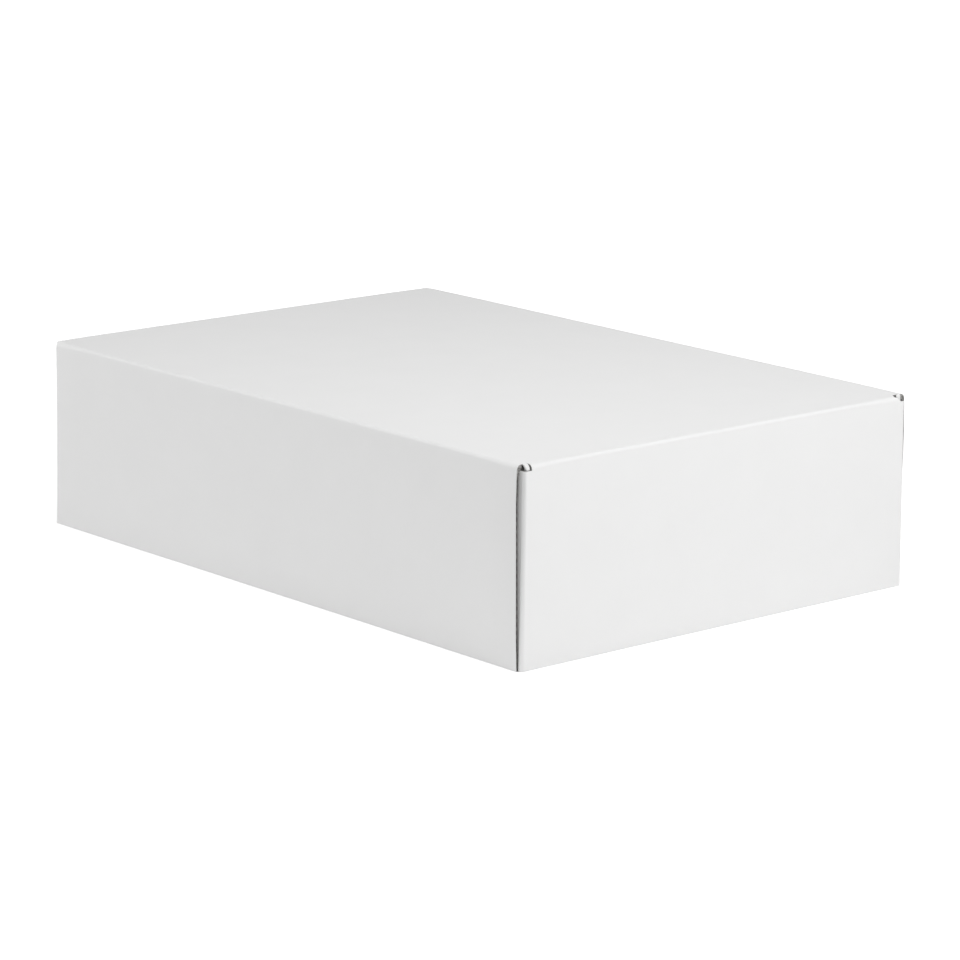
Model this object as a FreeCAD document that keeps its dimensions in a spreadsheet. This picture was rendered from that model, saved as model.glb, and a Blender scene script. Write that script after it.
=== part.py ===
import FreeCAD, Part

import os
from FreeCAD import Vector
import Sketcher

# Shipping box for three bottles that lie side by side, made of thin corrugated board.
# A full-depth lid lifts off an inner tray. Both are one die-cut sheet each, folded at the
# edges, with four corner wings glued behind the long walls. A slotted insert of five flat
# pieces stands in the tray: two long dividers, two cradles and a neck holder.
#
# Frame: origin at the middle of the underside, +X along the box, +Z up. Millimetres.

SIZES = [
    # alias, value, meaning
    ("lid_length", 360.0, "outside length of the lid, along X"),
    ("lid_width", 250.0, "outside width of the lid, along Y"),
    ("lid_height", 95.0, "outside height of the closed box"),
    ("board", 1.5, "thickness of the corrugated board"),
    ("top_fold", 2.5, "outside radius of the folds between a panel and its walls"),
    ("corner_fold", 1.7, "outside radius of the upright fold between a narrow wall and its wing"),
    ("wing_length", 42.0, "reach of a glued corner wing from the narrow wall's outside"),
    ("wing_taper", 7.0, "how far the free end of a wing leans back over its height"),
    ("wing_gap", 0.1, "glue line between a wing and the long wall"),
    ("wing_drop", 0.3, "raw upper edge of the corner fold below the start of the top fold"),
    ("edge_setback", 3.7, "cut end of a long wall, back from the narrow wall's outside"),
    ("relief_width", 5.5, "corner relief, from the long wall's outside to the narrow wall's fold"),
    ("nose_drop", 0.6, "how far the panel's corner nose is pressed below the fold"),
    ("nose_root", 2.5, "straight root of the nose inside the panel"),
    ("tray_clearance", 0.6, "gap between the tray and the nearest face of the lid, each side"),
    ("tray_headroom", 1.7, "tray's raw upper edge below the raw edge of the lid's corner folds"),
    ("insert_clearance", 0.4, "gap between the insert's ends and the tray's walls"),
    ("insert_headroom", 1.5, "dividers and neck holder below the tray's upper edge"),
    ("lap_clearance", 0.4, "extra width and depth of a slot where two insert pieces cross"),
    ("plate_corner", 6.0, "rounding of the insert's upper corners"),
    ("bottle_radius", 38.5, "cradle cut-out for the body of a bottle"),
    ("seat_web", 7.5, "board left under a bottle, between its seat and the cradle's foot"),
    ("cradle_drop", 14.0, "upper edge of a cradle below the bottle's axis"),
    ("neck_radius", 17.0, "notch for the neck of a bottle"),
    ("foot_cradle_gap", 17.9, "foot cradle's middle, in from the free ends of the wings at high X"),
    ("shoulder_cradle_x", 6.0, "place of the shoulder cradle along the box"),
    ("neck_holder_gap", 31.9, "neck holder's middle, in from the free ends of the wings at low X"),
]

doc = FreeCAD.newDocument("bottle_shipping_box")
sheet = doc.addObject("Spreadsheet::Sheet", "Sizes")
for row, (alias, size, meaning) in enumerate(SIZES, start=1):
    sheet.set(f"A{row}", alias)
    sheet.set(f"B{row}", str(size))
    sheet.set(f"C{row}", meaning)
    sheet.setAlias(f"B{row}", alias)
doc.recompute()

# Lengths that several pieces share, as expressions of the sheet's values.
WALLS_AT_CORNER = "(2 * Sizes.board + Sizes.wing_gap)"
TRAY_LENGTH = "(Sizes.lid_length - 2 * Sizes.board - 2 * Sizes.tray_clearance)"
TRAY_WIDTH = f"(Sizes.lid_width - 2 * {WALLS_AT_CORNER} - 2 * Sizes.tray_clearance)"
TRAY_HEIGHT = "(Sizes.lid_height - Sizes.top_fold - Sizes.wing_drop - Sizes.tray_headroom)"
BAY_PITCH = f"(({TRAY_WIDTH} - 2 * Sizes.board) / 3)"
FLOOR = "Sizes.board"
AXIS_HEIGHT = f"({FLOOR} + Sizes.seat_web + Sizes.bottle_radius)"
INSERT_TOP = f"({TRAY_HEIGHT} - Sizes.insert_headroom)"
CRADLE_TOP = f"({AXIS_HEIGHT} - Sizes.cradle_drop)"
SLOT_HALF = "((Sizes.board + Sizes.lap_clearance) / 2)"
WING_ROOT = f"({TRAY_LENGTH} / 2 - Sizes.wing_length)"
FOOT_CRADLE_X = f"({WING_ROOT} - Sizes.foot_cradle_gap)"
NECK_HOLDER_X = f"(-({WING_ROOT} - Sizes.neck_holder_gap))"
SQUARE = None


def value(expression):
    """Number that an expression has with the sheet's present values."""
    return float(sheet.evalExpression(expression))


def new_body(label):
    body = doc.addObject("PartDesign::Body", label)
    body.Label = label
    return body


def origin_plane(body, role):
    return [face for face in body.Origin.OriginFeatures if face.Role == role][0]


def new_sketch(body, label, role):
    """Sketch on one of the body's own origin planes."""
    sketch = body.newObject("Sketcher::SketchObject", f"{body.Label}_{label}")
    sketch.AttachmentSupport = [(origin_plane(body, role), "")]
    sketch.MapMode = "FlatFace"
    return sketch


def add_bound(sketch, kind, arguments, expression, label):
    """Dimension of a sketch whose value follows an expression."""
    index = sketch.addConstraint(Sketcher.Constraint(kind, *arguments, value(expression)))
    sketch.renameConstraint(index, label)
    sketch.setExpression(f"Constraints.{label}", expression)


def add_outline(sketch, edges, label="edge"):
    """Closed outline of upright ("V") and level ("H") edges.

    Each edge gives its direction, its place and the radius of the corner that follows it,
    where SQUARE is a corner with no radius. A bend in the board is an outline with one
    radius on its outer side and a radius smaller by the board on its inner side.
    """
    count = len(edges)
    places = [value(place) for _, place, _ in edges]

    def meeting(first, second):
        upright = first if edges[first][0] == "V" else second
        level = second if upright == first else first
        return Vector(places[upright], places[level], 0)

    knots = [meeting(i, (i + 1) % count) for i in range(count)]
    radii = [0.0 if radius is SQUARE else value(radius) for _, _, radius in edges]

    def toward(start, end, distance):
        return start + (end - start).normalize() * distance

    lines = []
    for i in range(count):
        before = knots[i - 1]
        after = knots[i]
        start = toward(before, after, radii[i - 1])
        end = toward(after, before, radii[i])
        lines.append(sketch.addGeometry(Part.LineSegment(start, end)))
        direction = "Vertical" if edges[i][0] == "V" else "Horizontal"
        sketch.addConstraint(Sketcher.Constraint(direction, lines[i]))

    for i in range(count):
        following = (i + 1) % count
        radius = radii[i]
        if radius == 0.0:
            sketch.addConstraint(Sketcher.Constraint("Coincident", lines[i], 2, lines[following], 1))
            continue
        start = toward(knots[i], knots[i - 1], radius)
        end = toward(knots[i], knots[following], radius)
        centre = start + end - knots[i]
        middle = centre + (knots[i] - centre).normalize() * radius
        arc = sketch.addGeometry(Part.Arc(start, middle, end))
        turns_left = (start - centre).cross(end - centre).z > 0
        arc_start = 1 if turns_left else 2
        arc_end = 2 if turns_left else 1
        sketch.addConstraint(Sketcher.Constraint("Tangent", lines[i], 2, arc, arc_start))
        sketch.addConstraint(Sketcher.Constraint("Tangent", arc, arc_end, lines[following], 1))
        add_bound(sketch, "Radius", [arc], edges[i][2], f"{label}_radius_{i}")

    for i, (direction, place, _) in enumerate(edges):
        kind = "DistanceX" if direction == "V" else "DistanceY"
        add_bound(sketch, kind, [-1, 1, lines[i], 1], place, f"{label}_{i}")


def add_circle(sketch, across, up, radius):
    """Circle given by the place of its centre and its radius."""
    centre = Vector(value(across), value(up), 0)
    circle = sketch.addGeometry(Part.Circle(centre, Vector(0, 0, 1), value(radius)))
    add_bound(sketch, "Radius", [circle], radius, "radius")
    add_bound(sketch, "DistanceX", [-1, 1, circle, 3], across, "across")
    add_bound(sketch, "DistanceY", [-1, 1, circle, 3], up, "up")


def pad(body, sketch, length, symmetric=True):
    feature = body.newObject("PartDesign::Pad", sketch.Label + "_pad")
    feature.Profile = sketch
    feature.SideType = "Symmetric" if symmetric else "One side"
    feature.setExpression("Length", length)
    doc.recompute()
    return feature


def pocket(body, sketch):
    """Cut that goes right through the body on both sides of its sketch."""
    before = body.Shape.Volume
    feature = body.newObject("PartDesign::Pocket", sketch.Label + "_cut")
    feature.Profile = sketch
    feature.SideType = "Symmetric"
    feature.Type = "ThroughAll"
    doc.recompute()
    if not body.Shape.Volume < before:
        raise ValueError(feature.Label + " cuts nothing")
    return feature


def channel_edges(length, height):
    """Panel with a wall folded down at each end, seen along the folds."""
    half = f"{length} / 2"
    inner_fold = "Sizes.top_fold - Sizes.board"
    return [
        ("V", f"-{half}", "Sizes.top_fold"),
        ("H", height, "Sizes.top_fold"),
        ("V", half, SQUARE),
        ("H", "0", SQUARE),
        ("V", f"{half} - Sizes.board", inner_fold),
        ("H", f"{height} - Sizes.board", inner_fold),
        ("V", f"-({half} - Sizes.board)", SQUARE),
        ("H", "0", SQUARE),
    ]


def winged_wall_edges(length, width, side):
    """Narrow wall with a wing folded back at each end, seen from above."""
    outside = f"{side} * {length} / 2"
    inside = f"{side} * ({length} / 2 - Sizes.board)"
    wing_end = f"{side} * ({length} / 2 - Sizes.wing_length)"
    wing_outside = f"({width} / 2 - Sizes.board - Sizes.wing_gap)"
    wing_inside = f"({width} / 2 - {WALLS_AT_CORNER})"
    inner_fold = "max(Sizes.corner_fold - Sizes.board; 0.1 * Sizes.board)"
    return [
        ("V", outside, "Sizes.corner_fold"),
        ("H", wing_outside, SQUARE),
        ("V", wing_end, SQUARE),
        ("H", wing_inside, inner_fold),
        ("V", inside, inner_fold),
        ("H", f"-{wing_inside}", SQUARE),
        ("V", wing_end, SQUARE),
        ("H", f"-{wing_outside}", "Sizes.corner_fold"),
    ]


def cut_wing_taper(body, length, height):
    """Lean the free ends of the wings back, so that they don't catch when the sheet is folded."""
    sketch = new_sketch(body, "wing_taper", "XZ_Plane")
    for name, side in (("low_x", "-1"), ("high_x", "1")):
        root = f"{side} * ({length} / 2 - Sizes.wing_length)"
        tip = f"{side} * ({length} / 2 - Sizes.wing_length + Sizes.wing_taper)"
        corners = [(root, height), (root, "0"), (tip, "0")]
        points = [Vector(value(across), value(up), 0) for across, up in corners]
        lines = []
        for i in range(3):
            lines.append(sketch.addGeometry(Part.LineSegment(points[i], points[(i + 1) % 3])))
        for i in range(3):
            sketch.addConstraint(Sketcher.Constraint("Coincident", lines[i], 2, lines[(i + 1) % 3], 1))
            add_bound(sketch, "DistanceX", [-1, 1, lines[i], 1], corners[i][0], f"{name}_across_{i}")
            add_bound(sketch, "DistanceY", [-1, 1, lines[i], 1], corners[i][1], f"{name}_up_{i}")
    pocket(body, sketch)


def add_corner_noses(body, length, width, height):
    """Small noses of the panel, pressed down inside the four corner reliefs."""
    sketch = new_sketch(body, "nose", "XZ_Plane")
    for name, side in (("low_x", "-1"), ("high_x", "1")):
        nose_top = f"{height} - Sizes.nose_drop"
        nose_tip = f"{side} * ({length} / 2 - Sizes.nose_drop)"
        underside = f"{side} * ({length} / 2 - Sizes.nose_drop - Sizes.board)"
        root = f"{side} * ({length} / 2 - Sizes.top_fold - Sizes.nose_root)"
        inner_bend = "max(Sizes.top_fold - Sizes.nose_drop - Sizes.board; 0.1 * Sizes.board)"
        add_outline(sketch, [
            ("H", nose_top, "Sizes.top_fold - Sizes.nose_drop"),
            ("V", nose_tip, SQUARE),
            ("H", f"{height} - Sizes.top_fold - Sizes.wing_drop / 2", SQUARE),
            ("V", underside, inner_bend),
            ("H", f"{height} - Sizes.nose_drop - Sizes.board", SQUARE),
            ("V", root, SQUARE),
        ], name)
    sketch.setExpression("AttachmentOffset.Base.z", f"{width} / 2 - Sizes.relief_width")
    noses = pad(body, sketch, "Sizes.relief_width - Sizes.top_fold", symmetric=False)
    mirror = body.newObject("PartDesign::Mirrored", body.Label + "_far_noses")
    mirror.Originals = [noses]
    mirror.MirrorPlane = (origin_plane(body, "XZ_Plane"), [""])
    body.Tip = mirror
    doc.recompute()


def folded_tray(label, length, width, height):
    """One sheet folded into a panel and four walls, open below, with its wings behind the long walls.

    The folds of the panel stop short of each corner, because the die cuts the sheet free there:
    the long wall's fold at its set-back cut end, and the narrow wall's fold at the relief.
    """
    body = new_body(label)
    wall_top = f"{height} - Sizes.top_fold - Sizes.wing_drop"

    short_fold = new_sketch(body, "narrow_walls_and_panel", "XZ_Plane")
    add_outline(short_fold, channel_edges(length, height))
    pad(body, short_fold, f"{width} - 2 * Sizes.relief_width")

    wings = new_sketch(body, "wings", "XY_Plane")
    add_outline(wings, winged_wall_edges(length, width, "1"), "high_x")
    add_outline(wings, winged_wall_edges(length, width, "-1"), "low_x")
    pad(body, wings, wall_top, symmetric=False)
    cut_wing_taper(body, length, wall_top)

    long_fold = new_sketch(body, "long_walls_and_panel", "YZ_Plane")
    add_outline(long_fold, channel_edges(width, height))
    pad(body, long_fold, f"{length} - 2 * Sizes.edge_setback")

    add_corner_noses(body, length, width, height)
    return body


def lid():
    return folded_tray("lid", "Sizes.lid_length", "Sizes.lid_width", "Sizes.lid_height")


def base_tray():
    """The same construction as the lid, small enough to slide inside it, with its panel as the floor."""
    body = folded_tray("base_tray", TRAY_LENGTH, TRAY_WIDTH, TRAY_HEIGHT)
    body.Placement = FreeCAD.Placement(Vector(0, 0, 0), FreeCAD.Rotation(Vector(1, 0, 0), 180))
    body.setExpression("Placement.Base.z", TRAY_HEIGHT)
    return body


def plate_edges(length, bottom, top):
    """Upright plate with rounded upper corners, and lower corners that clear the tray's folds."""
    foot_corner = "Sizes.top_fold - Sizes.board"
    return [
        ("V", f"-{length} / 2", "Sizes.plate_corner"),
        ("H", top, "Sizes.plate_corner"),
        ("V", f"{length} / 2", foot_corner),
        ("H", bottom, foot_corner),
    ]


def slot_edges(middle, bottom, top):
    return [
        ("V", f"{middle} - {SLOT_HALF}", SQUARE),
        ("H", top, SQUARE),
        ("V", f"{middle} + {SLOT_HALF}", SQUARE),
        ("H", bottom, SQUARE),
    ]


def lap_height(cross_top):
    """Height at which a divider and the cross piece under it meet."""
    return f"(({FLOOR} + {cross_top}) / 2)"


def divider(label, side):
    """Long divider, slotted from below to drop over the cross pieces."""
    body = new_body(label)
    length = f"({TRAY_LENGTH} - 2 * Sizes.board - 2 * Sizes.insert_clearance)"
    outline = new_sketch(body, "outline", "XZ_Plane")
    add_outline(outline, plate_edges(length, FLOOR, INSERT_TOP))
    pad(body, outline, "Sizes.board")

    slots = new_sketch(body, "slots", "XZ_Plane")
    crossings = [
        ("foot", FOOT_CRADLE_X, CRADLE_TOP),
        ("shoulder", "Sizes.shoulder_cradle_x", CRADLE_TOP),
        ("neck", NECK_HOLDER_X, INSERT_TOP),
    ]
    for name, place, cross_top in crossings:
        slot_top = f"{lap_height(cross_top)} + Sizes.lap_clearance / 2"
        add_outline(slots, slot_edges(place, f"{FLOOR} - Sizes.board", slot_top), name)
    pocket(body, slots)
    body.setExpression("Placement.Base.y", f"{side} * {BAY_PITCH} / 2")
    return body


def cross_plate(label, top, place):
    """Cross piece, slotted from above where the two dividers pass, before its bottle cut-outs."""
    body = new_body(label)
    length = f"({TRAY_WIDTH} - 2 * Sizes.board - 2 * Sizes.insert_clearance)"
    outline = new_sketch(body, "outline", "YZ_Plane")
    add_outline(outline, plate_edges(length, FLOOR, top))
    pad(body, outline, "Sizes.board")

    slots = new_sketch(body, "slots", "YZ_Plane")
    slot_bottom = f"{lap_height(top)} - Sizes.lap_clearance / 2"
    for name, side in (("near", "-1"), ("far", "1")):
        middle = f"{side} * {BAY_PITCH} / 2"
        add_outline(slots, slot_edges(middle, slot_bottom, f"{top} + Sizes.board"), name)
    pocket(body, slots)
    body.setExpression("Placement.Base.x", place)
    return body


def repeat_in_bays(body, cuts):
    """Copy cuts made in the near bay to the middle and the far bay."""
    pattern = body.newObject("PartDesign::LinearPattern", body.Label + "_bays")
    pattern.Originals = cuts
    pattern.Direction = (cuts[0].Profile[0], ["H_Axis"])
    pattern.Occurrences = 3
    pattern.setExpression("Length", f"2 * {BAY_PITCH}")
    body.Tip = pattern
    doc.recompute()


def cradle(label, place):
    """Low cross piece with a round seat for the body of each bottle."""
    body = cross_plate(label, CRADLE_TOP, place)
    seat = new_sketch(body, "seat", "YZ_Plane")
    add_circle(seat, f"-{BAY_PITCH}", AXIS_HEIGHT, "Sizes.bottle_radius")
    repeat_in_bays(body, [pocket(body, seat)])
    return body


def neck_holder():
    """Full-height cross piece with a U-shaped notch for the neck of each bottle."""
    body = cross_plate("neck_holder", INSERT_TOP, NECK_HOLDER_X)
    seat = new_sketch(body, "neck_seat", "YZ_Plane")
    add_circle(seat, f"-{BAY_PITCH}", AXIS_HEIGHT, "Sizes.neck_radius")
    round_cut = pocket(body, seat)
    mouth = new_sketch(body, "neck_mouth", "YZ_Plane")
    add_outline(mouth, [
        ("V", f"-{BAY_PITCH} - Sizes.neck_radius", SQUARE),
        ("H", f"{INSERT_TOP} + Sizes.board", SQUARE),
        ("V", f"-{BAY_PITCH} + Sizes.neck_radius", SQUARE),
        ("H", AXIS_HEIGHT, SQUARE),
    ])
    repeat_in_bays(body, [round_cut, pocket(body, mouth)])
    return body


pieces = [
    lid(),
    base_tray(),
    divider("divider_near", "-1"),
    divider("divider_far", "1"),
    cradle("foot_cradle", FOOT_CRADLE_X),
    cradle("shoulder_cradle", "Sizes.shoulder_cradle_x"),
    neck_holder(),
]
doc.recompute()

for item in doc.Objects:
    if "Invalid" in item.State or "Error" in item.State:
        raise ValueError(item.Label + " did not build")
for piece in pieces:
    if piece.Shape.isNull() or not piece.Shape.isValid():
        raise ValueError(piece.Label + " has no valid shape")
    if len(piece.Shape.Solids) != 1:
        raise ValueError(piece.Label + " is not one solid")

os.makedirs("parts", exist_ok=True)
for piece in pieces:
    piece.Shape.exportStep(os.path.join("parts", piece.Label + ".step"))
    box = piece.Shape.BoundBox
    print(f"{piece.Label}: {box.XLength:.2f} x {box.YLength:.2f} x {box.ZLength:.2f} mm")
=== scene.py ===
import math

import bmesh
import bpy
import numpy as np
from mathutils import Matrix, Vector


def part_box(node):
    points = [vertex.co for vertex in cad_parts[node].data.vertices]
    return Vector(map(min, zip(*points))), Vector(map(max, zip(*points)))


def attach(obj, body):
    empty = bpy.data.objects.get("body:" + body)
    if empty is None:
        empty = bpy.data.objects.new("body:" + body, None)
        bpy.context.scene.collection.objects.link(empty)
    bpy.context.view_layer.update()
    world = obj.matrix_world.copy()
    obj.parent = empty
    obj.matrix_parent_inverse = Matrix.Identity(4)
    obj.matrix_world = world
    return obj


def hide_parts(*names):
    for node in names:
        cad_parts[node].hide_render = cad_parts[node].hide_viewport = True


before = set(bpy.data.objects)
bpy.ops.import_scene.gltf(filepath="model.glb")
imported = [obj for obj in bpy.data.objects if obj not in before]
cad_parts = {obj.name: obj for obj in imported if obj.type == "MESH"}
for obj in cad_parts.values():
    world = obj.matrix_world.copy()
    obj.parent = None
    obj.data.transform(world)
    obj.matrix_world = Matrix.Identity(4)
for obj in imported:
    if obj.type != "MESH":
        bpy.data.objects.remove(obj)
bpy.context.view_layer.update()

# Bottle shipping box of thin corrugated board: a lift-off lid over an inner tray, and a
# slotted insert of five flat pieces. The lid and the tray are laid out as flat die-cut blanks
# and folded here, and every raw edge shows the liners and the fluted medium between them.
# Lengths are millimetres until a mesh is made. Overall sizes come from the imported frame.

MM = 0.001
WHITE_LINER, RAW_EDGE, FLUTES = 0, 1, 2

# Lengths that differ by less than this are the same, with closer limits for borders and doubles,
# and lines that span less area than this are parallel
SAME = 0.01
CLOSE = 0.001
DOUBLE = 1e-4
PARALLEL = 1e-9

# Angles: a turn that breaks an outline into stretches, and a crease that isn't shaded smooth
OUTLINE_TURN = math.radians(25)
SHARP_CREASE = math.radians(35)

# Board: liners, medium, and the crushed cut edge with a hollow behind it
BOARD = 1.5
LINER = 0.20
MEDIUM = 0.18
FLUTE_PITCH = 3.7
FLUTE_PHASE = 2.6
FLUTE_FLATNESS = 1.6
SAMPLES_PER_FLUTE = 12
PLAIN_STEP = 12.0
EDGE_CRUSH = 0.10
CRUSH_REACH = 1.2
RIM_DEPTH = 2.6
FOLD_RIM_DEPTH = 0.3
INSERT_RIM_DEPTH = 1.2
SHORTEST_CUT = 1.0
FLUTED_SHARE = 0.2
MEDIUM_START = 0.04
MEDIUM_ROWS = (2, 7)
MITRE_SHIFT = 0.3

# Folds, the reliefs where they stop, and the raw ends of the long walls. A lean is pairs of a
# distance down the wall and how far its raw end stands out there, for the near and the far wall.
TOP_FOLD = 2.5
CORNER_FOLD = 1.7
FOLD_STEPS = 8
RELIEF = 6.0
EDGE_SETBACK = 3.7
END_LEAN = {-1: ((0.0, 0.05), (0.5, 0.05), (12.0, -0.32), (78.0, 0.98), (92.5, 1.6)),
            1: ((0.0, 0.05), (0.5, 0.05), (8.0, 0.6), (28.0, 0.65), (50.0, 0.2), (92.5, -0.3))}

# Wings: the glued flaps behind the long walls
WING_LENGTH = 42.0
WING_TAPER = 7.0
WING_GAP = 0.1
WING_DROP = 0.3
WING_PRESS = 0.15
PRESS_LAG = 0.6
PRESS_POWER = 0.7
PRESS_END = (6.0, 18.0)

# A fold is tighter between its ends than at them
CREASE = 0.9
CREASE_FADE = 18.0

# The crumpled inner layers of a fold stand into the box as a bead, and the medium is bunched there
BEAD_REACH = 3.0
BEAD_FADE = 5.0
BEAD_ROUNDNESS = 1.2
BEAD_INNERMOST = 1.5
NARROW_BEAD = 0.35
BUNCH_BEFORE = 1.3
BUNCH_AFTER = 5.0
BUNCH_BEHIND = 2.5
FOLD_LINER = 0.5
FOLD_LINER_REACH = 1.2
END_LINER = 0.15

# Bow of the panel and the walls. A wave is its size, its turn for each millimetre and its phase.
PANEL_BOW = 0.35
LONG_WALL_BOW = 0.22
LONG_WALL_BOW_REACH = 128.0
NARROW_WALL_BOW = 0.20
PANEL_WAVE = (0.3, 0.021, 0.6)
WALL_WAVE = (0.35, 0.052, 1.3)

# Open corners: the fold swells near the free edge, and a torn relief runs back along the fold
SWELL = 0.95
SWELL_START = 0.1
SWELL_END = 0.75
SWELL_SHARPNESS = 1.6
WIDE_OPEN = (0.8, 1.0)
TEAR_REACH = 8.0
TEAR_AT_CUT = 0.7
TEAR_WIDEST = 1.0

# Cells of the folded sheets, and the closer rows beside their folds
PANEL_STEP_ALONG = 16.0
PANEL_STEP_ACROSS = 14.0
LONG_WALL_STEP = 13.0
NARROW_WALL_STEP = 10.0
WING_CELLS = 4
ROWS_BEFORE_FOLD = (-1.5, -0.6)
ROWS_AFTER_FOLD = (0.6, 1.6)
ROW_BEFORE_CORNER = 0.6
ROW_AFTER_RELIEF = 0.1
ROWS_AFTER_CORNER = (0.4, 0.8, 1.2, 2.0)

# Corner noses: the small tongues of the panel between two reliefs. A rounded end is pairs of a
# distance from the nose's edge and how far the nose falls back there.
NOSE_GAP = 0.12
NOSE_SINK = 0.015
NOSE_LIFT = 0.05
NOSE_STEPS = 8
NOSE_BACK = 1.0
NOSE_SHORTEST = 0.2
NOSE_OPEN_FROM = 0.5
OPEN_NOSE_THICKNESS = 0.5
OPEN_NOSE_ROOT = 0.3
OPEN_NOSE_TIP = 0.75
OPEN_NOSE_RETREAT = 10.0
OPEN_NOSE_EDGE = 0.8
OPEN_NOSE_NEAR_END = ((0.0, 0.55), (0.3, 0.3), (0.8, 0.1), (1.4, 0.0))
OPEN_NOSE_FAR_END = ((0.5, 0.1), (0.2, 0.35), (0.0, 0.8))
PRESSED_NOSE_THICKNESS = 0.9
PRESSED_NOSE_ROOT = 0.05
PRESSED_NOSE_BACK = 0.4
PRESSED_NOSE_SIDE = 0.1
PRESSED_NOSE_SPREAD = 0.3
PRESSED_NOSE_RETREAT = (0.4, 0.3)
PRESSED_NOSE_ROWS = 3
PRESSED_NOSE_TURNS = 7


# Board: vertices, faces and flat blank coordinates of one piece


class Board:
    """Mesh of one piece of board while it is being built."""

    def __init__(self):
        self.points = []
        self.blank = []
        self.faces = []
        self.finish = []

    def add_points(self, points, blank):
        """Vertices and their places on the flat blank; returns their numbers."""
        first = len(self.points)
        self.points.extend(map(tuple, points))
        self.blank.extend(map(tuple, blank))
        return np.arange(first, len(self.points))

    def add_face(self, corners, finish):
        """One face, with the number of its finish."""
        self.faces.append(tuple(int(c) for c in corners))
        self.finish.append(finish)

    def add_band(self, first, second, finish, closed=False):
        """Quads between two rows of vertices that run side by side."""
        count = len(first)
        for i in range(count if closed else count - 1):
            j = (i + 1) % count
            self.add_face((first[i], second[i], second[j], first[j]), finish)

    def make(self, name, body, node, slot, finishes):
        """The finished piece, on its body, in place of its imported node."""
        mesh = bpy.data.meshes.new(name)
        mesh.from_pydata([tuple(c * MM for c in p) for p in self.points], [], self.faces)
        mesh.update()
        flat = mesh.uv_layers.new(name="blank")
        loops = np.zeros(len(mesh.loops), np.int32)
        mesh.loops.foreach_get("vertex_index", loops)
        flat.data.foreach_set("uv", (np.array(self.blank, float)[loops] * MM).ravel())
        for finish in finishes:
            mesh.materials.append(finish)
        mesh.polygons.foreach_set("material_index", np.array(self.finish, np.int32))
        build = bmesh.new()
        build.from_mesh(mesh)
        bmesh.ops.recalc_face_normals(build, faces=build.faces)
        build.to_mesh(mesh)
        build.free()
        mesh.shade_smooth()
        mesh.set_sharp_from_angle(angle=SHARP_CREASE)
        piece = bpy.data.objects.new(name, mesh)
        bpy.context.scene.collection.objects.link(piece)
        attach(piece, body)
        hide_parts(node)
        return piece


def flute(across):
    """Depth of the medium's middle below the outer face, at a distance across the flutes."""
    swing = BOARD / 2 - LINER - MEDIUM / 2
    wave = np.cos(2 * np.pi * (np.abs(across) + FLUTE_PHASE) / FLUTE_PITCH)
    return BOARD / 2 + swing * np.tanh(FLUTE_FLATNESS * wave) / math.tanh(FLUTE_FLATNESS)


def spaced(start, end, step):
    """Even spacing from start to end, near the given step."""
    count = max(1, round(abs(end - start) / step))
    return np.linspace(start, end, count + 1)


def joined(*runs):
    """Rising values of several runs, with doubles removed."""
    values = sorted(float(v) for run in runs for v in np.atleast_1d(run))
    kept = values[:1]
    for v in values[1:]:
        if v - kept[-1] > DOUBLE:
            kept.append(v)
    return np.array(kept)


def share(value, start, end):
    """How far a value is on its way from start to end, from 0 to 1."""
    return np.clip((value - start) / (end - start), 0, 1)


def rising(way):
    """Smooth rise from 0 to 1 along a way from 0 to 1."""
    return np.sin(way * np.pi / 2) ** 2


def fading(way):
    """Smooth fall from 1 to 0 along a way from 0 to 1."""
    return np.cos(way * np.pi / 2) ** 2


def uneven(along, size, rate, phase):
    """Factor near 1 that wavers slowly along a sheet."""
    return 1 + size * np.sin(rate * along + phase)


# Lid and tray: one die-cut blank each, with u along the box and v across it


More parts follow.
